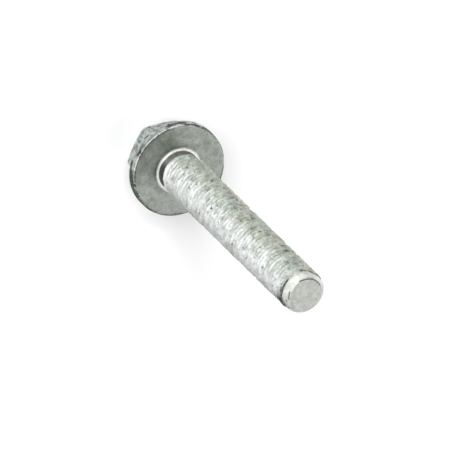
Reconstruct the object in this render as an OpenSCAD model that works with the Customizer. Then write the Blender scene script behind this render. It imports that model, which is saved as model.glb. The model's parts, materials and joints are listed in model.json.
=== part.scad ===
// Hex flange bolt with a metric fine thread along its whole shank.
// One forged and rolled piece of steel. It stands on its head, and +Z runs from the
// head to the tip. The origin is the centre of the head's end face.
// The threaded length is a plain cylinder as wide as the thread's crests.

/* [Thread] */
// Nominal size of the thread, across its crests
thread_d = 12; // [11:0.1:14]
// Distance from one crest to the next
pitch = 1.5; // [1:0.25:1.75]

/* [Shank] */
// Length from the bearing face to the end of the shank
shank_len = 80; // [40:1:140]
// Length of the plain neck, from the bearing face to the first full crest
neck_len = 3.1; // [2.4:0.1:8]
// Slope of the step from the neck up to the crests, measured from the axis
step_angle = 45; // [30:1:60]
// Radius of the fillet where the neck meets the bearing face
root_r = 0.85; // [0.4:0.05:1.2]

/* [Tip] */
// Diameter across the worn-in first crest, which rolling leaves a little small
lead_d = 11.6; // [10:0.1:11.8]
// Length of that first crest, with the slope behind it
lead_len = 1.1; // [0.6:0.1:2]
// Diameter of the flat end face
tip_face_d = 8.6; // [6:0.1:9.6]
// Length of the chamfer between the first crest and the end face
tip_chamfer_len = 1.9; // [1:0.1:3]

/* [Hexagon] */
// Width of the hexagon across its flats
across_flats = 17; // [15:0.1:19]
// Height of the whole head, flange included
head_h = 12; // [9:0.1:15]
// Diameter of the circle that the corner chamfer leaves on the end face
end_circle_d = 16.4; // [13:0.1:17]
// Angle between the corner chamfer and the end face
corner_angle = 30; // [15:1:35]

/* [Flange] */
// Outer diameter of the flange
flange_d = 25.8; // [23:0.1:30]
// Thickness of the flange at its rim
rim_h = 2.9; // [1.5:0.1:4]
// Slope of the flange's back, from the rim up to the hexagon
flange_angle = 25; // [15:1:30]
// Radius of the rim's edge on the bearing face
face_edge_r = 0.35; // [0.2:0.05:0.6]
// Radius of the rim's edge on the hexagon's side
back_edge_r = 0.8; // [0.3:0.05:0.9]

/* [Hidden] */
$fn = 96;

// A metric thread's pitch diameter, which is also the size of the blank it is rolled on.
PITCH_DEPTH = 0.6495;
neck_r = (thread_d - PITCH_DEPTH * pitch) / 2;
crest_r = thread_d / 2;
lead_r = lead_d / 2;
tip_face_r = tip_face_d / 2;
flange_r = flange_d / 2;
corner_r = across_flats / 2 / cos(30);

face_z = head_h;
rim_z = face_z - rim_h;
tip_z = face_z + shank_len;
step_len = (crest_r - neck_r) / tan(step_angle);

// The flange's back runs on to the axis inside the hexagon.
cone_z = rim_z - (flange_r - across_flats / 2) * tan(flange_angle);

// Points along a round edge, from one direction to another.
function arc(centre, radius, from, to, steps = 8) =
    [for (i = [0 : steps]) let (a = from + (to - from) * i / steps)
        centre + radius * [cos(a), sin(a)]];

// Half of the bolt's round section: the flange's back, rim and bearing face, the root
// fillet, the neck, the crests and the tip.
module round_section() {
    back_centre = [
        flange_r - back_edge_r,
        rim_z + back_edge_r * tan((90 - flange_angle) / 2)
    ];
    face_centre = [flange_r - face_edge_r, face_z - face_edge_r];
    root_centre = [neck_r + root_r, face_z + root_r];
    polygon(concat(
        [[0, cone_z], [across_flats / 2, cone_z]],
        arc(back_centre, back_edge_r, flange_angle - 90, 0),
        arc(face_centre, face_edge_r, 0, 90),
        arc(root_centre, root_r, 270, 180),
        [
            [neck_r, face_z + neck_len - step_len],
            [crest_r, face_z + neck_len],
            [crest_r, tip_z - tip_chamfer_len - lead_len],
            [lead_r, tip_z - tip_chamfer_len - lead_len / 2],
            [lead_r, tip_z - tip_chamfer_len],
            [tip_face_r, tip_z],
            [0, tip_z]
        ]
    ));
}

// The hexagon up to the flange, with its end corners cut back to a cone.
module hexagon() {
    cone_len = (corner_r - end_circle_d / 2) * tan(corner_angle);
    intersection() {
        rotate([0, 0, 30]) cylinder(r = corner_r, h = rim_z, $fn = 6);
        rotate_extrude() polygon([
            [0, 0],
            [end_circle_d / 2, 0],
            [corner_r, cone_len],
            [corner_r, rim_z],
            [0, rim_z]
        ]);
    }
}

module bolt() color([0.68, 0.70, 0.68]) {
    rotate_extrude() round_section();
    hexagon();
}

bolt();
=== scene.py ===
"""Looks of a hex flange bolt: its forged head, rolled thread and zinc flake coat.

The bolt is one closed mesh. The head, the flange and the tip are turned profiles whose
radius also follows the hexagon, and the thread is one long ribbon that winds between them.
Lengths are in metres, heights above the bearing face are called reach, and angles are in
radians. The hexagon's flats face the angles 0, 60 and so on. The bolt's front is the
side that its wear, painted shade and painted highlights are placed from, and an angle
counted from there is called a turn.
"""

import json
import math

import bpy
import numpy as np
from bpy.props import (
    FloatProperty, FloatVectorProperty, IntProperty, PointerProperty
)
from bpy.types import Operator, Panel, PropertyGroup
from mathutils import Matrix, Vector


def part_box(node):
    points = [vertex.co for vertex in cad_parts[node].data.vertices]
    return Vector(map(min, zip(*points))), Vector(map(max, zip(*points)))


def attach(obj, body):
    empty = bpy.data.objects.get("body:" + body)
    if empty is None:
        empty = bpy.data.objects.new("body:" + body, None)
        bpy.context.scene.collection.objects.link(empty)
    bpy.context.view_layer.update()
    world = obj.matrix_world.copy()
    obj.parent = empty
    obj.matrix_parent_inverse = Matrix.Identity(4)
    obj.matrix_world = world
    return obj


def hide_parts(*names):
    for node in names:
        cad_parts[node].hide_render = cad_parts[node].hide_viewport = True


bl_info = {
    "name": "Hex flange bolt",
    "version": (1, 0, 0),
    "blender": (4, 5, 0),
    "location": "3D View > Sidebar > Bolt",
    "description": "Models a hex flange bolt with its thread, coat and studio",
    "category": "Mesh",
}

MM = 0.001
TURN = 2 * math.pi
SIDES = 6
NODE = "bolt"

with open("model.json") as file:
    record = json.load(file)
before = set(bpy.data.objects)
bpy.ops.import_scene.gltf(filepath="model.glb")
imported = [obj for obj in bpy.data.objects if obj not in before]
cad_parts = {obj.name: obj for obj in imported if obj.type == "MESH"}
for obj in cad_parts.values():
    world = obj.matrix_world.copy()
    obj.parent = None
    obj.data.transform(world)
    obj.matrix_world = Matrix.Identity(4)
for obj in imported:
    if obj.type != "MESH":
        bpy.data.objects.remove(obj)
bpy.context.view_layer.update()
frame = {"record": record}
node_low, node_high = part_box(NODE)
mounts = {mount["name"]: mount for mount in frame["record"]["mounts"]}

FLANGE_RADIUS = min(node_high[0], node_high[1], -node_low[0], -node_low[1])
TIP_HEIGHT = node_high[2]
FACE_HEIGHT = mounts["bearing_face"]["pos_m"][2]
CREST_RADIUS = mounts["threaded_shank"]["dims"]["r_mm"] * MM
SHANK_LENGTH = TIP_HEIGHT - FACE_HEIGHT


# ---- settings


def length_setting(name, description, millimetres):
    """A length that a user would change, with its default in millimetres."""
    return FloatProperty(
        name=name, description=description, default=millimetres * MM, unit="LENGTH")


def angle_setting(name, description, degrees):
    """An angle that a user would change, with its default in degrees."""
    return FloatProperty(
        name=name, description=description, default=math.radians(degrees), subtype="ANGLE")


def share_setting(name, description, default):
    """A share that a user would change, from 0 to 1."""
    return FloatProperty(
        name=name, description=description, default=default, min=0, max=1, subtype="FACTOR")


def colour_setting(name, description, default):
    """A colour that a user would change."""
    return FloatVectorProperty(
        name=name, description=description, default=default, subtype="COLOR")


class BoltSizes(PropertyGroup):
    """Sizes of the bolt that the visual mesh is worked out from"""

    front: angle_setting(
        "Front", "Turn from -Y of the side that the wear is placed from", 7.0)
    across_flats: length_setting("Across flats", "Width of the hexagon across its flats", 17)
    end_circle: length_setting(
        "End circle", "Diameter that the corner chamfer leaves on the end face", 16.4)
    corner_angle: angle_setting(
        "Corner angle", "Angle between the corner chamfer and the end face", 30)
    hex_edge_radius: length_setting(
        "Hexagon edge radius", "Rounding of the hexagon's six long edges", 0.9)
    rim_height: length_setting("Rim height", "Thickness of the flange at its rim", 2.9)
    flange_angle: angle_setting("Flange angle", "Slope of the flange's back", 25)
    face_edge_radius: length_setting(
        "Face edge radius", "Rounding of the rim on the bearing face", 0.6)
    back_edge_radius: length_setting(
        "Back edge radius", "Rounding of the rim on the hexagon's side", 0.8)
    root_radius: length_setting(
        "Root radius", "Fillet between the neck and the bearing face", 0.85)
    neck_length: length_setting(
        "Neck length", "Plain neck between the bearing face and the thread", 3.1)
    pitch: length_setting(
        "Pitch", "Distance from one crest of the thread to the next", 1.5)
    lead_diameter: length_setting(
        "Lead diameter", "Diameter across the incomplete crest at the tip", 11.6)
    tip_face_diameter: length_setting(
        "Tip face diameter", "Diameter of the flat end of the shank", 8.6)
    tip_chamfer: length_setting("Tip chamfer", "Length of the chamfer along the axis", 1.9)
    last_groove: length_setting(
        "Last groove", "Reach of the last groove at the bolt's front", 76.4)
    half_groove: length_setting(
        "Half groove", "Reach of the half-rolled groove behind the lead crest", 77.5)
    half_groove_depth: length_setting(
        "Half groove depth", "Depth of the half-rolled groove", 0.45)
    columns_per_side: IntProperty(
        name="Columns per side", description="Mesh columns in each sixth of the bolt",
        default=25, min=8)
    longest_span: length_setting(
        "Longest span", "Longest mesh edge along the head and the tip", 0.42)
    coat_fill: share_setting(
        "Coat fill", "Share of a groove that the coat fills where it is thick", 0.5)
    crest_nicks: length_setting(
        "Crest nicks", "Depth of the nicks in the thread's crests", 0.24)
    forging_dents: length_setting(
        "Forging dents", "Depth of the dents in the head's sides", 0.3)


class CoatLooks(PropertyGroup):
    """Colours and gloss of the zinc flake coat"""

    # Painted light: the first colour is the shank's coat on its shaded side, and the second
    # the lighter colour painted on its lit side.
    light: colour_setting("Light coat", "Colour of the clean coat", (0.585, 0.605, 0.565))
    clean: colour_setting(
        "Handled coat", "Colour of the coat on the cleaner, handled side",
        (0.75, 0.753, 0.785))
    dull: colour_setting("Dull coat", "Colour of the greyer patches", (0.34, 0.365, 0.32))
    pressed: colour_setting("Pressed coat", "Colour of the bearing face", (0.46, 0.49, 0.45))
    sheared: colour_setting(
        "Sheared end", "Colour of the shank's flat end", (0.60, 0.605, 0.59))
    forged: colour_setting(
        "Forged coat", "Colour of the head's lighter patches", (0.515, 0.545, 0.54))
    # Painted highlights: the colour of the bright ring on the root fillet and of the bright
    # arcs.
    painted_highlight: colour_setting(
        "Rubbed coat", "Colour of the root fillet and the rubbed edges", (0.95, 0.95, 0.91))
    scale: colour_setting(
        "Forging scale", "Colour of the head's darker patches", (0.22, 0.24, 0.235))
    # Colour of the soil and pits, also used for the painted shade in the grooves, on the neck,
    # on the rim and behind the tip.
    soil_and_shade: colour_setting(
        "Soil", "Colour of the pits and of what has settled in them", (0.035, 0.04, 0.035))
    roughness: share_setting("Roughness", "Roughness of the clean coat", 0.42)
    metallic: share_setting("Metallic", "How metallic the coat is", 0.5)


class StageLooks(PropertyGroup):
    """Camera, floor and lights"""

    azimuth: angle_setting("Azimuth", "Camera's turn about the bolt, from -Y", 7.0)
    tilt: angle_setting(
        "Tilt", "Angle between the bolt's axis and the line of sight", 34.54)
    roll: angle_setting("Roll", "Slope of the bolt in the picture, below level", 44.43)
    distance: FloatProperty(
        name="Distance", description="Camera to bearing face", default=4.0, unit="LENGTH")
    scale: FloatProperty(
        name="Scale", description="Pixels to the millimetre at the bearing face",
        default=3.887)
    face_x: FloatProperty(
        name="Face X", description="Pixel column of the bearing face's centre",
        default=178.92)
    face_y: FloatProperty(
        name="Face Y", description="Pixel row of the bearing face's centre",
        default=170.42)
    floor: colour_setting("Floor", "Colour of the floor", (0.97, 0.97, 0.97))
    sky: FloatProperty(
        name="Sky", description="Strength of the light from all round", default=0.05)


class BoltSettings(PropertyGroup):
    """Everything that a user would change"""

    sizes: PointerProperty(type=BoltSizes)
    coat: PointerProperty(type=CoatLooks)
    stage: PointerProperty(type=StageLooks)


def settings():
    """The bolt's settings in the open scene."""
    return bpy.context.scene.flange_bolt


def front_side():
    """World angle, about the bolt's axis, of the bolt's front."""
    return settings().sizes.front - TURN / 4


def camera_side():
    """World angle, about the bolt's axis, of the side that the camera stands on."""
    return settings().stage.azimuth - TURN / 4


# ---- curves, places and noise


# Random numbers each way in the block that the lumps are read from.
LUMP_GRID = 16

# Random lumps: how far across each kind is (mm), and its seed.
LUMPS = {
    "nick": (1.1, 3),
    "fine nick": (0.5, 5),
    "coat": (2.6, 17),
    "dent": (2.3, 7),
    "fine dent": (1.0, 11),
    "rim": (1.6, 13),
}

# An arc fades over this share of its length at each end, and one that is longer than so
# many degrees fades as that one does.
FADE_SHARE = 0.2
LONGEST_FADED_ARC = 120


def smooth_step(value, low, high):
    """0 below low, 1 above high, and 3x^2 - 2x^3 between them."""
    share = np.clip((value - low) / (high - low), 0, 1)
    return share * share * (3 - 2 * share)


def at_least(lowest, share):
    """Squeezes a share that runs from 0 to 1, so that it runs from lowest to 1."""
    return lowest + (1 - lowest) * share


def bell(offset, width):
    """1 in the middle, and e to the power of minus the square of offset over width."""
    return np.exp(-(offset / width) ** 2)


def half_turn(turn):
    """The same angle, counted from minus half a turn to half a turn."""
    return (turn + math.pi) % TURN - math.pi


def arc_window(turn, start, end):
    """1 between two turns in degrees, fading to 0 over the outer part at each end."""
    fade = math.radians(min(end - start, LONGEST_FADED_ARC) * FADE_SHARE)
    middle, half = math.radians((start + end) / 2), math.radians((end - start) / 2)
    off = np.abs(half_turn(turn - middle))
    return 1 - smooth_step(off, half - fade, half) * (half < math.pi - fade)


def places(points):
    """Radius, reach and turn of each point."""
    x, y, height = points.T
    return np.hypot(x, y), height - FACE_HEIGHT, np.arctan2(y, x) - front_side()


def lumps(points, kind):
    """Soft random lumps of one kind: 0 to 1 at each point.

    A block of random numbers stands at the corners of a grid of cubes. A point takes the
    eight numbers round it, each by the product of three smooth steps of its nearness.
    """
    across, seed = LUMPS[kind]
    block = np.random.default_rng(seed).random((LUMP_GRID, LUMP_GRID, LUMP_GRID))
    place = points / (across * MM)
    low = np.floor(place).astype(int)
    part = smooth_step(place - low, 0, 1)
    total = np.zeros(len(points))
    for corner in np.ndindex(2, 2, 2):
        near = np.prod(np.where(corner, part, 1 - part), axis=1)
        x, y, z = ((low + corner) % LUMP_GRID).T
        total += near * block[x, y, z]
    return total


# ---- turned parts


# Half of the angle that one side of the hexagon takes up.
HALF_SIDE = TURN / SIDES / 2

# How closely the columns crowd at the hexagon's corners: 0 is evenly, 1 is the most.
CROWDING = 0.75

# The most of a straight that a rounded corner takes up, and the cosine past which two
# straights count as one.
LONGEST_SET_BACK = 0.49
STRAIGHT = 0.9999

# Rings of points on the flat ends: the smallest one's radius, the middle one's as a share
# of the end's, and the bearing face's as a share of the flange's.
POLE_RING = 0.6 * MM
MIDDLE_RING = 0.6
FACE_RING = 0.62

# Rounding of the lesser edges, from the head's end to the tip.
END_EDGE = 0.3 * MM
CHAMFER_EDGE = 0.35 * MM
HEXAGON_FOOT = 0.6 * MM
LEAD_EDGE = 0.1 * MM
TIP_EDGE = 0.22 * MM

# The head's profile ends on the neck, just past the fillet: its reach, in fillet radii.
PAST_FILLET = 1.15

# Rows from the thread's last edge, which is the first of them, up to the tip's chamfer,
# and how far short of it they stop.
LEAD_ROWS = 12
LEAD_GAP = 0.12 * MM

# Half-rolled groove: its width and the turns that it runs between, in degrees.
HALF_GROOVE_WIDTH = 0.24 * MM
HALF_GROOVE_ARCS = ((-8, 112), (-78, -32))


def column_angles(count):
    """Angles of one turn of mesh columns, close together at the hexagon's corners.

    Within each sixth, the angle is the even share less a sine wave of that share, which
    slows it down at both ends, where the corners are.
    """
    share = np.arange(count) / count
    sixth = share - CROWDING * np.sin(TURN * share) / TURN
    sides = np.arange(SIDES)[:, None]
    return ((sides + sixth[None, :] - 0.5) * TURN / SIDES).ravel()


def hexagon_radius(angles, sizes):
    """Distance from the axis to the hexagon's side, with its corners rounded.

    The side is half the width across flats over the cosine of the angle from its middle.
    Near a corner that gives way to a circle of the edge radius, set back along the corner.
    """
    half = sizes.across_flats / 2
    off = np.abs((angles + HALF_SIDE) % (2 * HALF_SIDE) - HALF_SIDE)
    flat = half / np.cos(off)
    radius = sizes.hex_edge_radius
    set_back = half / math.cos(HALF_SIDE) - radius / math.cos(HALF_SIDE)
    away = HALF_SIDE - off
    inside = np.clip(radius ** 2 - (set_back * np.sin(away)) ** 2, 0, None)
    circle = set_back * np.cos(away) + np.sqrt(inside)
    rounded = (set_back * np.sin(away) < radius / 2) & (circle < flat)
    return np.where(rounded, circle, flat)


def rounded_profile(corners, radii, steps):
    """Carries each column's profile round its corners in curves.

    corners is (corner, column, 2) and holds a radius and a height. Each inner corner
    becomes a curve from a point before it to a point after it, pulled towards the corner:
    the weights are those of a quadratic curve, and the set-back is the corner's radius
    times the tangent of half its turn. The first and last corners stay as they are.
    """
    rows = [corners[0]]
    for index in range(1, len(corners) - 1):
        before, at, after = corners[index - 1:index + 2]
        to_before, to_after = before - at, after - at
        span_before = np.linalg.norm(to_before, axis=1, keepdims=True)
        span_after = np.linalg.norm(to_after, axis=1, keepdims=True)
        to_before, to_after = to_before / span_before, to_after / span_after
        dot = np.clip((to_before * to_after).sum(1, keepdims=True), -STRAIGHT, STRAIGHT)
        set_back = radii[index] / np.tan(np.arccos(dot) / 2)
        set_back = np.minimum(
            set_back, LONGEST_SET_BACK * np.minimum(span_before, span_after))
        start, end = at + to_before * set_back, at + to_after * set_back
        for share in np.linspace(0, 1, steps[index]):
            rows.append((1 - share) ** 2 * start + 2 * share * (1 - share) * at
                        + share ** 2 * end)
    rows.append(corners[-1])
    return np.array(rows)


def finer(rows, longest):
    """Adds rows evenly between two rows wherever they are further apart than longest."""
    gaps = np.linalg.norm(np.diff(rows, axis=0), axis=2).max(axis=1)
    filled = []
    for start, end, gap in zip(rows[:-1], rows[1:], gaps):
        parts = max(1, math.ceil(gap / longest))
        filled += [start + (end - start) * part / parts for part in range(parts)]
    return np.array([*filled, rows[-1]])


def turned_rows(corners, angles, sizes):
    """Rows of radius and height that run round a turned part's corners.

    Each corner is a radius, a height, the radius that rounds it and the rows that this
    takes. The first two are one number, or one for each column.
    """
    radii, heights, rounding, steps = zip(*corners)
    points = np.array([
        np.stack([np.broadcast_to(part, angles.shape) for part in place], -1)
        for place in zip(radii, heights)])
    return finer(rounded_profile(points, rounding, steps), sizes.longest_span)


def head_profile(angles, sizes):
    """Rows of radius and height from the end face's middle to the foot of the neck.

    The hexagon's side meets the corner chamfer where the chamfer's cone is as wide as the
    side, and meets the flange where the sloping back is.
    """
    side = hexagon_radius(angles, sizes)
    end_radius = sizes.end_circle / 2
    rim = FACE_HEIGHT - sizes.rim_height
    chamfer_top = (side - end_radius) * math.tan(sizes.corner_angle)
    back = rim - (FLANGE_RADIUS - side) * math.tan(sizes.flange_angle)
    neck = neck_radius(sizes)
    return turned_rows([
        (POLE_RING, 0, 0, 1),
        (end_radius * MIDDLE_RING, 0, 0, 1),
        (end_radius, 0, END_EDGE, 4),
        (side, chamfer_top, CHAMFER_EDGE, 4),
        (side, (chamfer_top + back) / 2, 0, 1),
        (side, back, HEXAGON_FOOT, 5),
        (FLANGE_RADIUS, rim, sizes.back_edge_radius, 7),
        (FLANGE_RADIUS, FACE_HEIGHT, sizes.face_edge_radius, 6),
        (FLANGE_RADIUS * FACE_RING, FACE_HEIGHT, 0, 1),
        (neck, FACE_HEIGHT, sizes.root_radius, 8),
        (neck, FACE_HEIGHT + sizes.root_radius * PAST_FILLET, 0, 1),
    ], angles, sizes)


def tip_profile(angles, sizes):
    """Rows of radius and height from the thread's last edge to the end face's middle.

    The first rows climb from the thread's last edge, which rises by a pitch in one turn,
    to the chamfer's shoulder. A half-rolled groove runs part of the way round them: its
    depth is a bell curve over the reach.
    """
    end_radius = sizes.tip_face_diameter / 2
    shoulder = TIP_HEIGHT - sizes.tip_chamfer
    edge = thread_edge(angles, sizes)
    climb = np.linspace(0, 1, LEAD_ROWS)[1:, None]
    heights = edge + (shoulder - LEAD_GAP - edge) * climb
    reach = heights - FACE_HEIGHT
    arcs = [arc_window(angles - front_side(), *ends) for ends in HALF_GROOVE_ARCS]
    groove = np.maximum(*arcs) * bell(reach - sizes.half_groove, HALF_GROOVE_WIDTH)
    radius = crest_radius(reach, sizes) - groove * sizes.half_groove_depth
    rows = turned_rows([
        (radius[-1], heights[-1], 0, 1),
        (sizes.lead_diameter / 2, shoulder, LEAD_EDGE, 3),
        (end_radius, TIP_HEIGHT, TIP_EDGE, 5),
        (end_radius * MIDDLE_RING, TIP_HEIGHT, 0, 1),
        (POLE_RING, TIP_HEIGHT, 0, 1),
    ], angles, sizes)
    return np.concatenate([np.stack([radius, heights], -1)[:-1], rows])


# ---- thread


# Where a turn of the ribbon has its rows, as shares of the pitch, from crest to crest.
RIBBON_ROWS = np.array([0, 0.055, 0.095, 0.375, 0.44, 0.5, 0.56, 0.625, 0.905, 0.945, 1])

# A 60 degree metric thread, in pitches: half of the flat crest, where the root's circle
# starts, that circle's radius, the groove's depth, and the depth of the pitch line.
HALF_CREST = 0.0625
ROOT_START = 0.375
ROOT_ROUNDING = 0.1443
THREAD_DEPTH = 0.6134
PITCH_LINE_DEPTH = 0.32475

# Where the thread's ends run out, in pitches: the crest climbs over RISE below the end of
# the neck, and the groove deepens from CUT_START below it to CUT_END above it.
RISE = 0.35
CUT_START = 0.1
CUT_END = 0.8

# Turns before the ribbon's end between which its groove fades out.
FADE_OUT = (0.02, 0.28)

# Room between the head's last row and the ribbon's first edge, in pitches.
FIRST_GAP = 0.05

# Edges sharper than this are shaded as hard ones.
SHARP_ANGLE = math.radians(28)


def neck_radius(sizes):
    """The neck is as thick as the blank that the thread is rolled on: its pitch diameter."""
    return CREST_RADIUS - PITCH_LINE_DEPTH * sizes.pitch


def groove_depth(share, pitch):
    """Depth below the crest at a share of the pitch, for a 60 degree metric thread.

    The crest is flat for an eighth of the pitch, each flank falls 1.732 for each 1 along
    the axis, and the root is a circle that is tangent to both flanks.
    """
    off = np.minimum(share, 1 - share)
    flank = (off - HALF_CREST) * pitch * math.sqrt(3)
    root_radius = ROOT_ROUNDING * pitch
    across = np.clip((0.5 - off) * pitch, 0, root_radius)
    root = THREAD_DEPTH * pitch - root_radius + np.sqrt(root_radius ** 2 - across ** 2)
    return np.clip(np.where(off > ROOT_START, root, flank), 0, None)


def crest_radius(reach, sizes):
    """Radius of the crests: they rise from the neck, and fall over a pitch at the tip."""
    neck, lead = neck_radius(sizes), sizes.lead_diameter / 2
    start = smooth_step(reach, sizes.neck_length - RISE * sizes.pitch, sizes.neck_length)
    end = smooth_step(reach, sizes.last_groove, sizes.last_groove + sizes.pitch)
    return neck + (CREST_RADIUS - neck) * start + (lead - CREST_RADIUS) * end


def thread_seam(angles):
    """The column that the thread ends on, at the bolt's back, and its turn."""
    turn = (angles - front_side()) % TURN
    seam = int(np.argmin(np.abs(turn - math.pi)))
    return seam, turn[seam]


def thread_edge(angles, sizes):
    """Height of the thread's last edge, half a pitch above the last groove's middle.

    It rises evenly by one pitch in the turn that ends at the seam.
    """
    seam, turn = thread_seam(angles)
    onward = (angles - angles[seam]) % TURN
    onward[seam] = TURN
    return (FACE_HEIGHT + sizes.last_groove + sizes.pitch / 2
            + (turn - TURN + onward) * sizes.pitch / TURN)


def thread_surface(heights, share, sizes, turns_left):
    """Radius of the thread: the crest's radius less the groove's depth.

    The groove deepens over the first turn and fades out in the last quarter turn.
    """
    reach = heights - FACE_HEIGHT
    cut = smooth_step(reach, sizes.neck_length - CUT_START * sizes.pitch,
                      sizes.neck_length + CUT_END * sizes.pitch)
    cut = cut * smooth_step(turns_left, *FADE_OUT)
    return crest_radius(reach, sizes) - cut * groove_depth(share, sizes.pitch)


# ---- mesh


class BoltMesh:
    """Gathers the vertices and faces of the turned parts and the thread's ribbon."""

    def __init__(self, sizes):
        self.sizes = sizes
        self.angles = column_angles(sizes.columns_per_side)
        self.columns = len(self.angles)
        self.points = []
        self.faces = []
        self.count = 0

    def add(self, radius, angle, height):
        """Adds points given by radius, angle and height, and returns their numbers."""
        whole = np.broadcast_arrays(radius, angle, height)
        radius, angle, height = [part.ravel() for part in whole]
        self.points.append(np.stack(
            [radius * np.cos(angle), radius * np.sin(angle), height], -1))
        numbers = np.arange(self.count, self.count + len(radius)).reshape(whole[0].shape)
        self.count += len(radius)
        return numbers

    def join(self, first, second, third, fourth):
        """Adds four-sided faces, from four arrays of corner numbers."""
        self.faces += np.stack([first, second, third, fourth], -1).reshape(-1, 4).tolist()

    def lathe(self, rows):
        """Adds a turned part, one ring of points to each row, and joins the rings."""
        numbers = self.add(rows[:, :, 0], self.angles[None, :], rows[:, :, 1])
        onward = np.roll(numbers, -1, axis=1)
        self.join(numbers[:-1], onward[:-1], onward[1:], numbers[1:])
        return numbers

    def cap(self, ring, height, upward):
        """Closes a ring with triangles to a point on the axis."""
        pole = int(self.add(np.zeros(1), np.zeros(1), np.full(1, height))[0])
        for here, there in zip(ring, np.roll(ring, -1)):
            first, second = (here, there) if upward else (there, here)
            self.faces.append([int(first), int(second), pole])

    def ribbon(self, foot_ring, top_ring):
        """Adds the thread between two rings.

        Column q stands at the q-th angle, counted on past each full turn, and the ribbon
        climbs one pitch a turn. It ends at the bolt's back. Its upper edge is the lower
        edge one turn later, so those points are shared, and the two ends are closed by
        one many-sided face each.
        """
        sizes, columns = self.sizes, self.columns
        rows = len(RIBBON_ROWS) - 1
        seam, turn = thread_seam(self.angles)
        foot = sizes.root_radius * PAST_FILLET
        span = sizes.last_groove - foot - (0.5 + FIRST_GAP) * sizes.pitch
        length = int(span / sizes.pitch * columns)
        column = seam - length + np.arange(length + 1)
        order = column % columns
        angle = self.angles[order] + TURN * (column // columns)
        onward = angle - self.angles[seam]
        base = (FACE_HEIGHT + sizes.last_groove - sizes.pitch / 2
                + (turn + onward) * sizes.pitch / TURN)
        share = RIBBON_ROWS[None, :]
        height = base[:, None] + share * sizes.pitch
        radius = thread_surface(height, share, sizes, -onward[:, None] / TURN)
        numbers = np.zeros((length + 1, rows + 1), int)
        numbers[:, :rows] = self.add(radius[:, :rows], angle[:, None], height[:, :rows])
        numbers[:-columns, rows] = numbers[columns:, 0]
        last = slice(length + 1 - columns, length + 1)
        numbers[last, rows] = self.add(radius[last, rows], angle[last], height[last, rows])
        self.join(numbers[:-1, :-1], numbers[1:, :-1], numbers[1:, 1:], numbers[:-1, 1:])
        self.join_foot(foot_ring[order[:columns + 1]], numbers)
        self.join_top(top_ring[order[length - columns:]], numbers)

    def join_foot(self, ring, numbers):
        """Joins the ring at the neck to the ribbon's first lower edge."""
        edge = numbers[:self.columns + 1, 0]
        last = self.columns - 1
        self.join(ring[:last], ring[1:last + 1], edge[1:last + 1], edge[:last])
        self.faces.append([int(i) for i in (ring[last], ring[0], *numbers[0], edge[last])])

    def join_top(self, ring, numbers):
        """Joins the ribbon's last upper edge to the ring at the tip."""
        edge = numbers[-self.columns - 1:, -1]
        self.join(edge[1:-1], edge[2:], ring[2:], ring[1:-1])
        self.faces.append([int(i) for i in (
            edge[0], edge[1], ring[1], ring[0], *numbers[-1, :0:-1])])

    def build(self, name):
        """Writes the gathered arrays into a mesh with soft shading and hard edges."""
        mesh = bpy.data.meshes.new(name)
        points = dent(np.concatenate(self.points), self.sizes)
        mesh.from_pydata(points.tolist(), [], self.faces)
        mesh.update()
        mesh.polygons.foreach_set("use_smooth", np.ones(len(mesh.polygons), bool))
        mesh.set_sharp_from_angle(angle=SHARP_ANGLE)
        return mesh


# ---- dents and nicks


# The shank's lumps are drawn out along the axis: their height is taken at this share.
DRAWN_OUT = 0.8

# Nicks: the radius and reach of the crests that have them, how high a lump has to be, and
# what the fine lumps add. On the side of the negative turns, over a range of minus the
# turn's sine, they are deeper.
CREST_BAND = (CREST_RADIUS - 0.35 * MM, CREST_RADIUS - 0.05 * MM)
NICKS_START = 1 * MM
NICK_LEVELS = (0.42, 0.75)
FINE_NICKS = 0.4
NEGATIVE_SIDE = (0.5, 0.9)
DEEPER_NICKS = 0.7

# Coat in the grooves: the reach over which it begins, how far before the last groove it
# thins out, the range of the turn's sine over which it thickens, the range of the lumps,
# with the least share for each, and the range of the turn's cosine that it ends over.
FILL_START = (3.4 * MM, 4.4 * MM)
FILL_END = 1 * MM
FILL_SIDE, THIN_SIDE = (0.0, 0.35), 0.6
FILL_LEVELS, THIN_SPOTS = (0.3, 0.6), 0.5
FILL_FRONT = (-0.35, 0.25)

# Dents in the head: how far below the bearing face they begin, the share of the end
# circle's diameter past which they lie, and how much of them is broad. Past a share of
# the flange's radius they are shallower.
DENTS_START = (0.15 * MM, 0.9 * MM)
DENTS_OUTSIDE = 0.45
BROAD_DENTS = 0.6
RIM_SHARE, RIM_DENTS = 0.93, 0.4

# Dents along the edge of the bearing face: where the edge is, how high a lump has to be,
# and how deep they are.
EDGE_SHARE = 0.95
EDGE_REACH, EDGE_WIDTH = -0.2 * MM, 0.4 * MM
EDGE_LEVELS = (0.55, 0.9)
EDGE_DENTS = 0.1 * MM


def nick_loss(points, radius, reach, turn):
    """Depth lost by the thread's crests where the lumps are highest, as a share."""
    crest = smooth_step(radius, *CREST_BAND) * (reach > NICKS_START)
    nick = smooth_step(lumps(points, "nick"), *NICK_LEVELS)
    nick = nick + FINE_NICKS * lumps(points, "fine nick")
    return crest * nick * (1 + DEEPER_NICKS * smooth_step(-np.sin(turn), *NEGATIVE_SIDE))


def coat_gain(points, radius, reach, turn, sizes):
    """Depth of the coat that has settled in the grooves, before the share that fills."""
    end = sizes.last_groove
    groove = (CREST_RADIUS - radius) * smooth_step(reach, *FILL_START) * (
        1 - smooth_step(reach, end - FILL_END, end))
    lumpy = smooth_step(lumps(points, "coat"), *FILL_LEVELS)
    side = smooth_step(np.sin(turn), *FILL_SIDE)
    thick = at_least(THIN_SIDE, side) * at_least(THIN_SPOTS, lumpy)
    return groove * thick * smooth_step(np.cos(turn), *FILL_FRONT)


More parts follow.
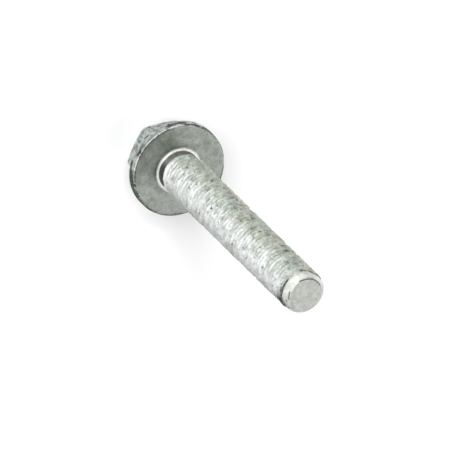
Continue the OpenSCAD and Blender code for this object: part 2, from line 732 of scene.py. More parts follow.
def dent_loss(points, radius, reach, sizes):
    """Depth lost by the head's sides, less of it at the rim, as a share."""
    side = smooth_step(-reach, *DENTS_START) * (radius > sizes.end_circle * DENTS_OUTSIDE)
    rough = BROAD_DENTS * lumps(points, "dent")
    rough = rough + (1 - BROAD_DENTS) * lumps(points, "fine dent")
    return side * rough * np.where(radius > FLANGE_RADIUS * RIM_SHARE, RIM_DENTS, 1)


def edge_loss(points, radius, reach):
    """Depth lost by the edge of the bearing face where the lumps are highest, as a share."""
    edge = bell(reach - EDGE_REACH, EDGE_WIDTH) * (radius > FLANGE_RADIUS * EDGE_SHARE)
    return edge * smooth_step(lumps(points, "rim"), *EDGE_LEVELS)


def dent(points, sizes):
    """Moves points towards the axis, where the coat is nicked and the forging is uneven.

    Each point loses the sum of its nick, its dent and its edge's dent, and gains the coat
    that has settled in its groove.
    """
    radius, reach, turn = places(points)
    x, y, height = points.T
    along = np.stack([x, y, height * DRAWN_OUT], -1)
    loss = nick_loss(along, radius, reach, turn) * sizes.crest_nicks
    loss = loss - coat_gain(along, radius, reach, turn, sizes) * sizes.coat_fill
    loss = loss + dent_loss(points, radius, reach, sizes) * sizes.forging_dents
    loss = loss + edge_loss(points, radius, reach) * EDGE_DENTS
    keep = 1 - loss / np.maximum(radius, MM)
    return np.stack([x * keep, y * keep, height], -1)


# ---- wear, painted shade and painted highlights on the mesh


# Chips and stains, and one patch of painted shade, the large one at 76.2 mm and 78 degrees
# behind the tip: reach (mm), turn (degrees), length along the axis, width round the bolt (mm)
# and how dark each is.
CHIPS_AND_SHADE = (
    (30.7, 11, 1.0, 0.6, 1.0),
    (20.0, -44, 0.9, 1.0, 0.75),
    (22.2, -47, 0.8, 1.0, 0.5),
    (12.7, -29, 0.9, 0.9, 0.55),
    (10.2, -6, 0.6, 0.8, 0.35),
    (24.4, -60, 1.4, 1.4, 0.6),
    (36.9, -36, 0.8, 2.4, 0.55),
    (41.1, -3, 1.0, 0.6, 0.45),
    (47.4, 30, 1.2, 0.6, 0.5),
    (61.8, -53, 1.0, 1.8, 0.6),
    (65.0, -53, 0.9, 2.6, 0.7),
    (68.0, -19, 1.0, 1.0, 0.4),
    (71.0, -29, 1.4, 1.4, 0.5),
    (73.4, -42, 1.6, 2.0, 0.55),
    (74.9, -30, 1.0, 1.6, 0.45),
    (65.7, 43, 0.9, 0.6, 0.4),
    (70.2, 51, 0.9, 0.7, 0.4),
    (28.9, -19, 0.8, 0.8, 0.4),
    (75.2, 43, 1.0, 0.8, 0.45),
    (76.2, 78, 4.2, 4.4, 1.0),
    (77.4, -40, 1.0, 1.4, 0.7),
    (79.0, 62, 0.7, 1.0, 0.55),
    (78.5, 76, 0.8, 0.9, 0.5),
    (79.3, 92, 0.6, 1.2, 0.5),
    (78.6, 24, 0.3, 0.5, 0.35),
    (-0.7, 18, 0.9, 0.7, 1.0),
    (-1.1, 11, 0.8, 0.5, 0.75),
    (-2.5, -1, 0.8, 0.7, 0.7),
    (-1.2, -32, 1.4, 1.3, 0.65),
    (-1.3, -44, 1.0, 1.1, 0.85),
    (-2.2, 34, 1.4, 0.9, 0.7),
    (-3.6, 22, 1.2, 0.9, 0.6),
)

# Dark arcs, most of them painted shade in the grooves behind the tip, on the flange's rim and
# along the bearing face's edge: radius and reach of the arc, how wide it is (mm), the turns
# that it runs between (degrees) and how dark it is.
DARK_ARCS = (
    (5.6, 77.62, 0.8, -12, 112, 1.0),
    (5.6, 77.6, 0.75, -78, -32, 0.7),
    (4.42, 79.9, 0.4, -124, -2, 0.8),
    (4.65, 79.6, 0.55, 24, 62, 0.7),
    (5.4, 76.25, 0.7, 18, 120, 0.9),
    (12.85, -1.8, 2.9, 30, 165, 1.0),
    (12.85, -0.35, 0.75, 75, 235, 0.85),
    (12.8, -0.3, 0.7, 225, 325, 0.45),
    (12.3, -0.02, 0.4, -50, 70, 0.5),
    (5.75, 78.2, 0.7, -110, -50, 0.85),
)

# Painted highlights, bright arcs on the bearing face's edge, the last crests, the tip's
# chamfer and the thread's start, described in the same way.
BRIGHT_ARCS = (
    (12.62, -0.12, 0.22, -65, 92, 0.75),
    (5.95, 77.0, 0.3, -5, 62, 1.0),
    (12.45, -0.04, 0.16, 70, 155, 0.4),
    (5.95, 76.95, 0.35, 20, 110, 0.9),
    (5.1, 79.0, 1.8, -130, 10, 0.5),
    (5.1, 79.0, 1.8, -30, 60, 0.1),
    (5.95, 3.3, 1.5, -5, 130, 1.0),
)

# Chips and arcs fall to half at their outline: e to the power of minus this.
HALF_LEFT = 0.7

# Painted shade in the thread's grooves: how far it fades over at the thread's ends, the turn
# where there is most and how far it spreads each way (degrees), the range of minus the turn's
# cosine over which it returns at the back, its share there, and its least share.
SHADE_ENDS = (0.4 * MM, 0.5 * MM)
SHADE_TURN, SHADE_AHEAD, SHADE_BEHIND = 5, 28, 42
SHADE_BACK, BACK_SHARE = (0.1, 0.5), 0.8
LEAST_SHADE = 0.35

# How deep the painted shade lies, as a share of the groove's depth, and the range of the
# turn's sine over which it covers the crests too, with its share there.
SHADE_DEPTH = (0.3, 0.75)
SHADE_OVER, OVER_SHARE = (0.45, 1.0), 0.65

# Painted shade on the neck, in its recess: the turns between which it is darkest (degrees),
# the reach where it starts and how much nearer that is between them (mm), how far it fades
# over there, how far before the neck's end it fades out, and its least share.
DARK_NECK = (2, 142)
NECK_START, NECK_SHIFT = 0.09, 0.08
NECK_FADE = 0.14 * MM
NECK_END = (0.7 * MM, 0.3 * MM)
LEAST_NECK = 0.72

# The fillet's painted highlight, a bright ring: how far it fades over at the neck, the reach
# above which it lies, and the range about the fillet's outer edge over which it ends.
RING_FADE = 0.16 * MM
RING_FOOT = -0.01 * MM
RING_OUTSIDE = (-0.1 * MM, 0.05 * MM)

# Painted light on the shank's lit side, which is painted lighter and more even than its
# shaded side: how far it is turned (degrees), and the range of the sine over which it grows
# lighter.
LIT_TURN, LIT_RANGE = 14, (-0.1, 0.45)

# The reach within which a face of the mesh lies on the bearing face, and the one below
# which it is on the head whatever its radius.
LEVEL = 0.02 * MM
BELOW_FACE = -0.5 * MM


def chip_and_shade_darkness(reach, turn):
    """Darkness of the chips, stains and painted shade: for each, a bell curve over its length
    and width.
    """
    total = np.zeros_like(reach)
    for at, side, length, width, dark in CHIPS_AND_SHADE:
        along = (reach - at * MM) / (length * MM / 2)
        across = half_turn(turn - math.radians(side)) * CREST_RADIUS / (width * MM / 2)
        total = np.maximum(total, dark * np.exp(-HALF_LEFT * (along ** 2 + across ** 2)))
    return total


def arc_strength(arcs, radius, reach, turn):
    """Strength of a set of arcs: a bell curve across each, within its window of turns."""
    total = np.zeros_like(reach)
    for at, height, width, start, end, strength in arcs:
        across = np.hypot(radius - at * MM, reach - height * MM) / (width * MM / 2)
        total = np.maximum(total, strength * arc_window(turn, start, end)
                           * np.exp(-HALF_LEFT * across ** 2))
    return total


def thread_groove_shade(radius, reach, turn, sizes):
    """Painted shade deep in the thread's grooves: most at the front and some at the back.

    Round the front it is a bell curve of the turn. On one side it lies over the crests too.
    """
    before, past = SHADE_ENDS
    on_thread = smooth_step(reach, sizes.neck_length - before, sizes.neck_length) * (
        1 - smooth_step(reach, sizes.last_groove, sizes.last_groove + past))
    side = half_turn(turn - math.radians(SHADE_TURN))
    most = bell(side, np.radians(np.where(side > 0, SHADE_AHEAD, SHADE_BEHIND)))
    back = BACK_SHARE * smooth_step(-np.cos(turn), *SHADE_BACK)
    most = at_least(LEAST_SHADE, np.maximum(most, back))
    deep = (CREST_RADIUS - radius) / (THREAD_DEPTH * sizes.pitch)
    over = OVER_SHARE * smooth_step(np.sin(turn), *SHADE_OVER)
    return np.clip(on_thread * (most * smooth_step(deep, *SHADE_DEPTH) + over), 0, 1)


def neck_and_ring(radius, reach, turn, sizes):
    """Painted shade on the plain neck, and a painted highlight, a bright ring, on the fillet
    before it.

    The painted shade starts nearer to the bearing face, and is darkest, between two turns.
    """
    darkest = arc_window(turn, *DARK_NECK)
    start = (NECK_START - NECK_SHIFT * darkest) * MM
    end = [sizes.neck_length - short for short in NECK_END]
    neck = smooth_step(reach, start, start + NECK_FADE) * (1 - smooth_step(reach, *end))
    outside = [neck_radius(sizes) + sizes.root_radius + more for more in RING_OUTSIDE]
    ring = (1 - smooth_step(reach, start, start + RING_FADE)) * (reach > RING_FOOT) * (
        1 - smooth_step(radius, *outside))
    return neck * at_least(LEAST_NECK, darkest), ring


def mesh_places(items, name):
    """Radius, reach and turn of a mesh's vertices or faces."""
    points = np.zeros(len(items) * 3)
    items.foreach_get(name, points)
    return places(points.reshape(-1, 3))


def paint_wear_and_light(mesh, sizes):
    """Puts the maps of wear, painted shade and painted highlights on the mesh, each worked out
    from where its points are.

    The first map is painted shade deep in the thread, the next painted shade on the plain
    neck before it, the next the chipped and stained places with painted shade behind the tip
    and on the rim, the next painted highlights on the root fillet, the edge of the bearing
    face and elsewhere, and the last the shank's lit side, which is painted lighter.
    """
    place = mesh_places(mesh.vertices, "co")
    radius, reach, turn = place
    neck, ring = neck_and_ring(*place, sizes)
    maps = {
        "groove_shade": thread_groove_shade(*place, sizes),
        "neck": neck,
        "chips_and_shade": np.maximum(chip_and_shade_darkness(reach, turn), arc_strength(DARK_ARCS, *place)),
        "highlight_map": np.maximum(arc_strength(BRIGHT_ARCS, *place), ring),
        "worn": smooth_step(np.sin(turn + math.radians(LIT_TURN)), *LIT_RANGE),
    }
    for name, values in maps.items():
        mesh.attributes.new(name, "FLOAT", "POINT").data.foreach_set("value", values)


def coat_zones(mesh, sizes):
    """Which coat each face has, by the place of its middle.

    0 is the shank, 1 the bearing face, 2 the rest of the head and 3 the shank's end.
    """
    radius, reach, _ = mesh_places(mesh.polygons, "center")
    root_edge = neck_radius(sizes) + sizes.root_radius
    face_edge = FLANGE_RADIUS - sizes.face_edge_radius
    on_face = (np.abs(reach) < LEVEL) & (radius > root_edge) & (radius < face_edge)
    on_head = ~on_face & (reach < LEVEL) & ((radius > root_edge) | (reach < BELOW_FACE))
    on_end = reach > SHANK_LENGTH - sizes.tip_chamfer
    return np.select([on_face, on_head, on_end], [1, 2, 3], 0).astype(np.int32)


# ---- nodes


FLOAT, COLOUR, VECTOR = "NodeSocketFloat", "NodeSocketColor", "NodeSocketVector"

# Noise and waves stand about this value.
MIDDLE = 0.5

# What the noise adds to a wear map to break up its outline.
RAGGEDNESS = 0.7

# Mottling: the share of each of its three noises, how far a contrast of 1 spreads them,
# and the two hues that it drifts between.
BROAD_SHARE, MEDIUM_SHARE, GRAIN_SHARE = 0.45, 0.33, 0.22
SPREAD = 4.2
COOL_HUE, WARM_HUE = (0.93, 1.0, 0.985, 1), (1.0, 0.985, 0.93, 1)

# Pits: how fine the wobble of their outlines is and how strong, a pit's size in cells, and
# the smallest pit's radius in cells, which is half of the largest one's.
WOBBLE_SCALE, WOBBLE = 2.2, 0.9
PIT_CELLS = 0.42
PIT_RADIUS = 0.16

# How far the rings of the facing tool wander, in millimetres.
RING_WANDER = 1.4


def add_node(tree, kind, inputs=None, **options):
    """Adds a node, sets its options, and feeds its inputs from values or other outputs."""
    node = tree.nodes.new(kind)
    for name, value in options.items():
        setattr(node, name, value)
    for name, value in (inputs or {}).items():
        socket = node.inputs[name]
        if isinstance(value, bpy.types.NodeSocket):
            tree.links.new(value, socket)
        else:
            socket.default_value = value
    return node


def maths(tree, operation, first, second=0.0, third=0.0):
    """One step of arithmetic."""
    node = add_node(tree, "ShaderNodeMath", {0: first, 1: second, 2: third},
                    operation=operation)
    return node.outputs["Value"]


def scaled(tree, value, by, plus=None):
    """A value times a factor, plus an amount where one is given."""
    if plus is None:
        return maths(tree, "MULTIPLY", value, by)
    return maths(tree, "MULTIPLY_ADD", value, by, plus)


def minus(tree, first, second):
    """The first value less the second."""
    return maths(tree, "SUBTRACT", first, second)


def vector_maths(tree, operation, *inputs):
    """One step of arithmetic on vectors."""
    return add_node(tree, "ShaderNodeVectorMath", dict(enumerate(inputs)),
                    operation=operation).outputs


def blend(tree, share, first, second, way="MIX"):
    """Mixes two colours by a share."""
    node = add_node(tree, "ShaderNodeMix", {0: share, 6: first, 7: second},
                    data_type="RGBA", blend_type=way)
    return node.outputs[2]


def between(tree, value, low, high):
    """0 below low, 1 above high, and a smooth step between them."""
    node = add_node(tree, "ShaderNodeMapRange",
                    {"Value": value, "From Min": low, "From Max": high},
                    interpolation_type="SMOOTHSTEP")
    return node.outputs["Result"]


def noise(tree, place, size, detail=2.0, roughness=0.5):
    """Soft noise whose lumps are about size millimetres across."""
    node = add_node(tree, "ShaderNodeTexNoise", {
        "Vector": place, "Scale": 1 / size, "Detail": detail, "Roughness": roughness})
    return node.outputs["Fac"]


def attribute(tree, name):
    """A map from the mesh: wear, painted shade or painted highlights."""
    return add_node(tree, "ShaderNodeAttribute", attribute_name=name).outputs["Fac"]


# ---- node groups


def new_group(name, inputs, outputs):
    """A node group with named sockets. Gives its tree, its inputs and its output node."""
    tree = bpy.data.node_groups.new(name, "ShaderNodeTree")
    for socket, kind, default in inputs:
        made = tree.interface.new_socket(socket, in_out="INPUT", socket_type=kind)
        if default is not None:
            made.default_value = default
    for socket, kind in outputs:
        tree.interface.new_socket(socket, in_out="OUTPUT", socket_type=kind)
    entry = tree.nodes.new("NodeGroupInput").outputs
    return tree, entry, tree.nodes.new("NodeGroupOutput")


def finish_group(tree, leave, **results):
    """Links a group's results to its output node."""
    for name, value in results.items():
        tree.links.new(value, leave.inputs[name])
    return tree


def make_mottling():
    """Zinc flake that settled unevenly: light and dull patches with a slight change of hue."""
    tree, entry, leave = new_group(
        "zinc_mottling",
        [("Place", VECTOR, None), ("Light", COLOUR, None), ("Dull", COLOUR, None),
         ("Patch", FLOAT, 1.6), ("Contrast", FLOAT, 1.0), ("Hue", FLOAT, 1.0)],
        [("Color", COLOUR), ("Dullness", FLOAT), ("Height", FLOAT)])
    patch = add_node(tree, "ShaderNodeCombineXYZ", {
        "X": entry["Patch"], "Y": entry["Patch"], "Z": entry["Patch"]}).outputs["Vector"]
    place = vector_maths(tree, "DIVIDE", entry["Place"], patch)["Vector"]
    broad = noise(tree, place, size=2.6)
    medium = noise(tree, place, size=0.9, detail=3.0, roughness=0.6)
    grain = noise(tree, place, size=0.28, roughness=0.6)
    mixed = scaled(tree, grain, by=GRAIN_SHARE)
    mixed = scaled(tree, medium, by=MEDIUM_SHARE, plus=mixed)
    mixed = scaled(tree, broad, by=BROAD_SHARE, plus=mixed)
    spread = scaled(tree, minus(tree, mixed, MIDDLE),
                    by=scaled(tree, entry["Contrast"], by=SPREAD), plus=MIDDLE)
    dullness = add_node(tree, "ShaderNodeClamp", {
        "Value": minus(tree, 1.0, spread)}).outputs["Result"]
    colour = blend(tree, dullness, entry["Light"], entry["Dull"])
    drift = noise(tree, place, size=1.9, detail=1.0, roughness=0.4)
    hue = blend(tree, between(tree, drift, low=0.38, high=0.62), COOL_HUE, WARM_HUE)
    colour = blend(tree, entry["Hue"], colour, hue, "MULTIPLY")
    return finish_group(tree, leave, Color=colour, Dullness=dullness, Height=spread)


def make_pits():
    """Small dark pits: the cells of a pattern whose own random number is high, cut round."""
    tree, entry, leave = new_group(
        "coat_pits",
        [("Place", VECTOR, None), ("Size", FLOAT, 0.5), ("Share", FLOAT, 0.15)],
        [("Mask", FLOAT), ("Height", FLOAT)])
    wobble = add_node(tree, "ShaderNodeTexNoise", {
        "Vector": entry["Place"], "Scale": WOBBLE_SCALE, "Detail": 2.0}).outputs["Color"]
    centred = vector_maths(tree, "SUBTRACT", wobble, 3 * (MIDDLE,))["Vector"]
    moved = vector_maths(tree, "MULTIPLY_ADD", centred, 3 * (WOBBLE,), entry["Place"])
    cells = add_node(tree, "ShaderNodeTexVoronoi", {
        "Vector": moved["Vector"],
        "Scale": maths(tree, "DIVIDE", PIT_CELLS, entry["Size"])}).outputs
    chosen = add_node(tree, "ShaderNodeSeparateColor", {"Color": cells["Color"]}).outputs
    keep = maths(tree, "LESS_THAN", chosen["Red"], entry["Share"])
    reach = scaled(tree, chosen["Green"], by=PIT_RADIUS, plus=PIT_RADIUS)
    inside = minus(tree, 1.0, maths(tree, "DIVIDE", cells["Distance"], reach))
    mask = scaled(tree, between(tree, inside, low=0.0, high=0.55), by=keep)
    return finish_group(tree, leave, Mask=mask, Height=minus(tree, 1.0, mask))


def make_turning_marks():
    """Rings left by the tool that faced the flange: a wave of the distance from the axis."""
    tree, entry, leave = new_group(
        "turning_marks",
        [("Place", VECTOR, None), ("Spacing", FLOAT, 0.6)],
        [("Mask", FLOAT), ("Height", FLOAT)])
    flat = vector_maths(tree, "MULTIPLY", entry["Place"], (1.0, 1.0, 0.0))["Vector"]
    radius = vector_maths(tree, "LENGTH", flat)["Value"]
    uneven = scaled(tree, noise(tree, entry["Place"], size=4.0, detail=1.0), by=RING_WANDER)
    rings = maths(tree, "DIVIDE", maths(tree, "ADD", radius, uneven), entry["Spacing"])
    wave = maths(tree, "SINE", scaled(tree, rings, by=TURN))
    wave = scaled(tree, wave, by=MIDDLE, plus=MIDDLE)
    height = scaled(tree, wave, by=noise(tree, entry["Place"], size=1.1))
    return finish_group(tree, leave, Mask=height, Height=height)


# ---- coats


class Coat:
    """A coat of the bolt: one material, with the steps that all its coats take."""

    def __init__(self, name, looks, groups, metallic):
        self.looks = looks
        self.groups = groups
        self.material = bpy.data.materials.new(name)
        self.material.use_nodes = True
        self.tree = self.material.node_tree
        self.shader = self.tree.nodes["Principled BSDF"]
        self.shader.inputs["Metallic"].default_value = metallic
        place = add_node(self.tree, "ShaderNodeTexCoord").outputs["Object"]
        self.place = add_node(self.tree, "ShaderNodeVectorMath", {
            0: place, "Scale": 1 / MM}, operation="SCALE").outputs["Vector"]
        self.colour = None

    def paint(self, name):
        """One of the settings' colours, with its alpha."""
        return (*getattr(self.looks, name), 1)

    def use(self, group, **inputs):
        """Places a shared node group, fed by the place on the bolt. Gives its outputs."""
        return add_node(self.tree, "ShaderNodeGroup", {"Place": self.place, **inputs},
                        node_tree=self.groups[group]).outputs

    def mottle(self, light, dull, **inputs):
        """Begins the colour with the mottling of two colours. Gives the group's outputs."""
        zinc = self.use("mottling", Light=light, Dull=dull, **inputs)
        self.colour = zinc["Color"]
        return zinc

    def ragged(self, mesh_map, size, low, high):
        """A map from the mesh with its outline broken up by noise, then sharpened."""
        broken = scaled(self.tree, noise(self.tree, self.place, size), by=RAGGEDNESS,
                        plus=attribute(self.tree, mesh_map))
        return between(self.tree, minus(self.tree, broken, RAGGEDNESS / 2), low, high)

    def painted_highlight(self, share):
        """Covers the colour with the painted highlights' colour, by a share."""
        self.colour = blend(self.tree, share, self.colour, self.paint("painted_highlight"))

    def soil_and_shade(self, mask, amount):
        """Darkens the colour towards the soil colour where a mask is high: real soil, pits and
        marks, and painted shade.
        """
        share = scaled(self.tree, mask, by=amount)
        self.colour = blend(self.tree, share, self.colour, self.paint("soil_and_shade"))

    def finish(self, roughness, height, depth):
        """Links the worked-out values to the shader, with the height as a bump of a depth."""
        bump = add_node(self.tree, "ShaderNodeBump", {
            "Height": height, "Distance": depth, "Strength": 1.0}).outputs["Normal"]
        ends = {"Base Color": self.colour, "Roughness": roughness, "Normal": bump}
        for name, value in ends.items():
            self.tree.links.new(value, self.shader.inputs[name])
        return self.material


def thread_coat(looks, groups):
    """The shank's coat: mottled, pitted and chipped, with painted shade in the grooves, on the
    neck and behind the tip, and painted highlights on the fillet and crests.

    On its lit side it is painted lighter, more even and less soiled, and it is a little
    rougher there.
    """
    coat = Coat("zinc_coat_on_thread", looks, groups, looks.metallic)
    tree = coat.tree
    # Painted light: the map of the shank's lit side, which is painted lighter, more even, less
    # tinted and less soiled.
    worn = attribute(tree, "worn")
    zinc = coat.mottle(
        blend(tree, worn, coat.paint("light"), coat.paint("clean")), coat.paint("dull"),
        Patch=0.8, Contrast=scaled(tree, worn, by=-0.6, plus=1.4),
        Hue=scaled(tree, worn, by=-0.6, plus=0.9))
    pits = coat.use("pits", Size=0.6, Share=0.48)
    uneven = scaled(tree, noise(tree, coat.place, size=2.0, detail=1.0), by=0.8, plus=0.6)
    # Painted shade in the thread's grooves, broken up by noise.
    groove_shade = scaled(tree, attribute(tree, "groove_shade"), by=uneven)
    blotches = noise(tree, coat.place, size=1.5, detail=3.0, roughness=0.6)
    chip_and_shade_mask = coat.ragged("chips_and_shade", size=0.5, low=0.2, high=0.75)
    # Painted highlights on the root fillet, the last crests and the thread's start.
    coat.painted_highlight(attribute(tree, "highlight_map"))
    coat.soil_and_shade(between(tree, blotches, low=0.54, high=0.66),
              amount=scaled(tree, worn, by=-0.28, plus=0.42))
    # Painted shade in the thread's grooves.
    coat.soil_and_shade(groove_shade, amount=0.4)
    coat.soil_and_shade(pits["Mask"], amount=scaled(tree, worn, by=-0.2, plus=0.85))
    # Painted shade on the plain neck.
    coat.soil_and_shade(attribute(tree, "neck"), amount=1.0)
    # Chips, stains and painted shade behind the tip.
    coat.soil_and_shade(chip_and_shade_mask, amount=0.95)
    rough = scaled(tree, zinc["Dullness"], by=0.18, plus=looks.roughness - 0.06)
    rough = scaled(tree, worn, by=0.1, plus=rough)
    height = scaled(tree, pits["Height"], by=0.6, plus=zinc["Height"])
    return coat.finish(rough, minus(tree, height, chip_and_shade_mask), depth=0.09 * MM)


def pressed_coat(looks, groups):
    """The bearing face: smoother, darker and marked by the facing tool."""
    coat = Coat("zinc_coat_pressed", looks, groups, metallic=1.0)
    tree = coat.tree
    darker = tuple(0.6 * part for part in looks.pressed) + (1,)
    zinc = coat.mottle(coat.paint("pressed"), darker, Patch=0.8, Contrast=1.1, Hue=0.4)
    marks = coat.use("marks", Spacing=0.55)
    pits = coat.use("pits", Size=0.4, Share=0.12)
    coat.soil_and_shade(pits["Mask"], amount=0.45)
    coat.soil_and_shade(marks["Mask"], amount=0.22)
    # Chips, stains and painted shade along the face's edge.
    coat.soil_and_shade(coat.ragged("chips_and_shade", size=0.6, low=0.25, high=0.6), amount=0.8)
    rough = scaled(tree, zinc["Dullness"], by=0.12, plus=0.27)
    height = scaled(tree, marks["Height"], by=0.8, plus=zinc["Height"])
    return coat.finish(rough, height, depth=0.02 * MM)


def forged_coat(looks, groups):
    """The head's sides: rough scale under the coat, with a painted highlight along the bearing
    face's edge and painted shade on the rim.
    """
    coat = Coat("zinc_coat_forged", looks, groups, looks.metallic)
    tree = coat.tree
    zinc = coat.mottle(coat.paint("forged"), coat.paint("scale"), Patch=0.48, Contrast=2.2)
    pits = coat.use("pits", Size=0.9, Share=0.4)
    chip_and_shade_mask = coat.ragged("chips_and_shade", size=0.7, low=0.1, high=0.5)
    coat.soil_and_shade(pits["Mask"], amount=0.85)
    # Painted highlight along the bearing face's edge.
    coat.painted_highlight(coat.ragged("highlight_map", size=0.9, low=0.25, high=0.6))
    # Chips, stains and painted shade on the flange's rim.
    coat.soil_and_shade(chip_and_shade_mask, amount=0.95)
    rough = scaled(tree, zinc["Dullness"], by=0.2, plus=looks.roughness - 0.05)
    rough = scaled(tree, chip_and_shade_mask, by=0.3, plus=rough)
    height = scaled(tree, pits["Height"], by=0.6, plus=zinc["Height"])
    return coat.finish(rough, height, depth=0.12 * MM)


def sheared_coat(looks, groups):
    """The shank's end: flat and even, with a few small pits, a painted highlight on the
    chamfer, and chips and painted shade along its edge.
    """
    coat = Coat("zinc_coat_on_tip", looks, groups, looks.metallic)
    tree = coat.tree
    zinc = coat.mottle(
        coat.paint("sheared"), coat.paint("dull"), Patch=0.4, Contrast=0.7, Hue=0.4)
    pits = coat.use("pits", Size=0.4, Share=0.15)
    chip_and_shade_mask = coat.ragged("chips_and_shade", size=0.5, low=0.2, high=0.6)
    # Painted highlight on the tip's chamfer.
    coat.painted_highlight(coat.ragged("highlight_map", size=0.7, low=0.0, high=1.0))
    coat.soil_and_shade(pits["Mask"], amount=0.45)
    # Chips, stains and painted shade along the tip's edge.
    coat.soil_and_shade(chip_and_shade_mask, amount=0.85)
    rough = scaled(tree, zinc["Dullness"], by=0.15, plus=looks.roughness)
    return coat.finish(rough, minus(tree, zinc["Height"], chip_and_shade_mask), depth=0.05 * MM)


# ---- operators


# Half of the floor's width, in metres, and its finish.
FLOOR_HALF = 3.0
FLOOR_ROUGHNESS, FLOOR_GLOSS = 0.9, 0.1

# Pixels across the picture, width of the camera's sensor (mm) and what it sees (m).
PICTURE = 450
SENSOR = 36
NEAREST, FURTHEST = 0.1, 20

# Soft lights round the bolt: turn from the camera's side and height above the floor, in
# degrees, strength, and sharpness.
SOFT_LIGHTS = {
    "front": (0, 38, 5.9, 14),
    "front left": (45, 15, 1.3, 14),
    "high front left": (45, 38, 0.8, 14),
    "left": (90, 15, 1.1, 14),
    "rear": (180, 15, 3.2, 14),
    "rear right": (225, 15, 2.5, 14),
    "high rear left": (150, 55, 1.2, 40),
    "high rear right": (210, 55, 2.5, 40),
    "narrow left": (60, 20, 4.5, 60),
    "key": (-25, 48, 20.0, 150),
}


class BOLT_OT_bolt(Operator):
    """Builds the bolt's mesh and gives it its coats"""

    bl_idname = "bolt.bolt"
    bl_label = "Bolt"

    def execute(self, context):
        sizes, looks = settings().sizes, settings().coat
        maker = BoltMesh(sizes)
        head = maker.lathe(head_profile(maker.angles, sizes))
        tip = maker.lathe(tip_profile(maker.angles, sizes))
        maker.cap(head[0], 0, False)
        maker.cap(tip[-1], TIP_HEIGHT, True)
        maker.ribbon(head[-1], tip[0])
        mesh = maker.build("bolt_body")
        body = bpy.data.objects.new("bolt_body", mesh)
        context.scene.collection.objects.link(body)
        paint_wear_and_light(mesh, sizes)
        groups = {
            "mottling": make_mottling(), "pits": make_pits(), "marks": make_turning_marks()}
        for coat in (thread_coat, pressed_coat, forged_coat, sheared_coat):
            mesh.materials.append(coat(looks, groups))
        mesh.polygons.foreach_set("material_index", coat_zones(mesh, sizes))
        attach(body, "root")
        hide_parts(NODE)
        return {"FINISHED"}


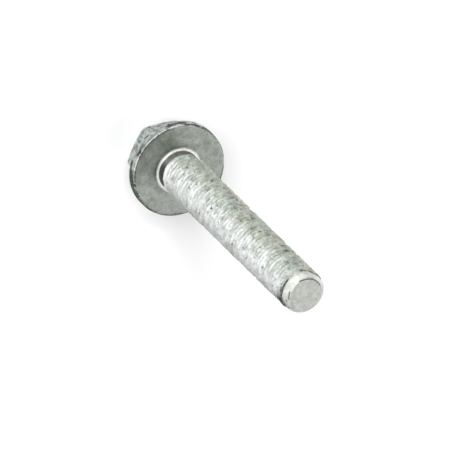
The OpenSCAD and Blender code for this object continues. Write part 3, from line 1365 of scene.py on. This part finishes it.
class BOLT_OT_stage(Operator):
    """Sets the floor, the lights and the camera"""

    bl_idname = "bolt.stage"
    bl_label = "Stage"

    def execute(self, context):
        looks = settings().stage
        self.make_floor(context, looks)
        self.make_camera(context, looks)
        self.make_sky(context, looks)
        context.scene.view_settings.view_transform = "Standard"
        return {"FINISHED"}

    def make_floor(self, context, looks):
        """A wide square, level with the end face that the bolt stands on."""
        signs = ((-1, -1), (1, -1), (1, 1), (-1, 1))
        mesh = bpy.data.meshes.new("floor")
        mesh.from_pydata([(x * FLOOR_HALF, y * FLOOR_HALF, 0) for x, y in signs], [],
                         [(0, 1, 2, 3)])
        floor = bpy.data.objects.new("floor", mesh)
        context.scene.collection.objects.link(floor)
        material = bpy.data.materials.new("floor_paper")
        material.use_nodes = True
        shader = material.node_tree.nodes["Principled BSDF"]
        shader.inputs["Base Color"].default_value = (*looks.floor, 1)
        shader.inputs["Roughness"].default_value = FLOOR_ROUGHNESS
        shader.inputs["Specular IOR Level"].default_value = FLOOR_GLOSS
        mesh.materials.append(material)

    def make_camera(self, context, looks):
        """A long lens, rolled so that the bolt points down to the right."""
        side = camera_side()
        back = Vector((math.sin(looks.tilt) * math.cos(side),
                       math.sin(looks.tilt) * math.sin(side), math.cos(looks.tilt)))
        along = (Vector((0, 0, 1)) - back * math.cos(looks.tilt)).normalized()
        across = along.cross(back)
        right = along * math.cos(looks.roll) - across * math.sin(looks.roll)
        up = back.cross(right)
        metres_per_pixel = MM / looks.scale
        aim = (Vector((0, 0, FACE_HEIGHT))
               + right * (PICTURE / 2 - looks.face_x) * metres_per_pixel
               - up * (PICTURE / 2 - looks.face_y) * metres_per_pixel)
        data = bpy.data.cameras.new("camera")
        data.sensor_width = SENSOR
        data.lens = SENSOR * looks.distance / (PICTURE * metres_per_pixel)
        data.clip_start, data.clip_end = NEAREST, FURTHEST
        camera = bpy.data.objects.new("camera", data)
        context.scene.collection.objects.link(camera)
        axes = Matrix((right, up, back)).transposed().to_4x4()
        camera.matrix_world = Matrix.Translation(aim + back * looks.distance) @ axes
        context.scene.camera = camera

    def make_sky(self, context, looks):
        """Light from all round: an even part, and soft lights that fade from their middle.

        Each is its strength times the cosine of the angle from its middle, cut off at
        nought and raised to the sharpness. The camera sees plain white past the floor.
        """
        world = bpy.data.worlds.new("sky")
        world.use_nodes = True
        tree = world.node_tree
        way = add_node(tree, "ShaderNodeTexCoord").outputs["Generated"]
        total = maths(tree, "ADD", looks.sky, 0.0)
        for turn, climb, strength, sharpness in SOFT_LIGHTS.values():
            side, climb = camera_side() + math.radians(turn), math.radians(climb)
            toward = (math.cos(climb) * math.cos(side), math.cos(climb) * math.sin(side),
                      math.sin(climb))
            facing = vector_maths(tree, "DOT_PRODUCT", way, toward)["Value"]
            lobe = maths(tree, "POWER", maths(tree, "MAXIMUM", facing), sharpness)
            total = scaled(tree, lobe, by=strength, plus=total)
        seen = add_node(tree, "ShaderNodeLightPath").outputs["Is Camera Ray"]
        total = scaled(tree, seen, by=minus(tree, 1.0, total), plus=total)
        tree.links.new(total, tree.nodes["Background"].inputs["Strength"])
        tree.nodes["Background"].inputs["Color"].default_value = (1, 1, 1, 1)
        context.scene.world = world


class BOLT_PT_panel(Panel):
    """Lists the operators and settings"""

    bl_idname = "BOLT_PT_panel"
    bl_label = "Hex flange bolt"
    bl_space_type = "VIEW_3D"
    bl_region_type = "UI"
    bl_category = "Bolt"

    def draw(self, context):
        for group in (settings().sizes, settings().coat, settings().stage):
            box = self.layout.box()
            for name in group.__annotations__:
                box.prop(group, name)
        for operator in OPERATORS:
            self.layout.operator(operator.bl_idname)


OPERATORS = (BOLT_OT_bolt, BOLT_OT_stage)
CLASSES = (BoltSizes, CoatLooks, StageLooks, BoltSettings, *OPERATORS, BOLT_PT_panel)


def register():
    for item in CLASSES:
        bpy.utils.register_class(item)
    bpy.types.Scene.flange_bolt = PointerProperty(type=BoltSettings)


def unregister():
    del bpy.types.Scene.flange_bolt
    for item in reversed(CLASSES):
        bpy.utils.unregister_class(item)


def main():
    register()
    bpy.ops.bolt.bolt()
    bpy.ops.bolt.stage()


if __name__ == "__main__":
    main()
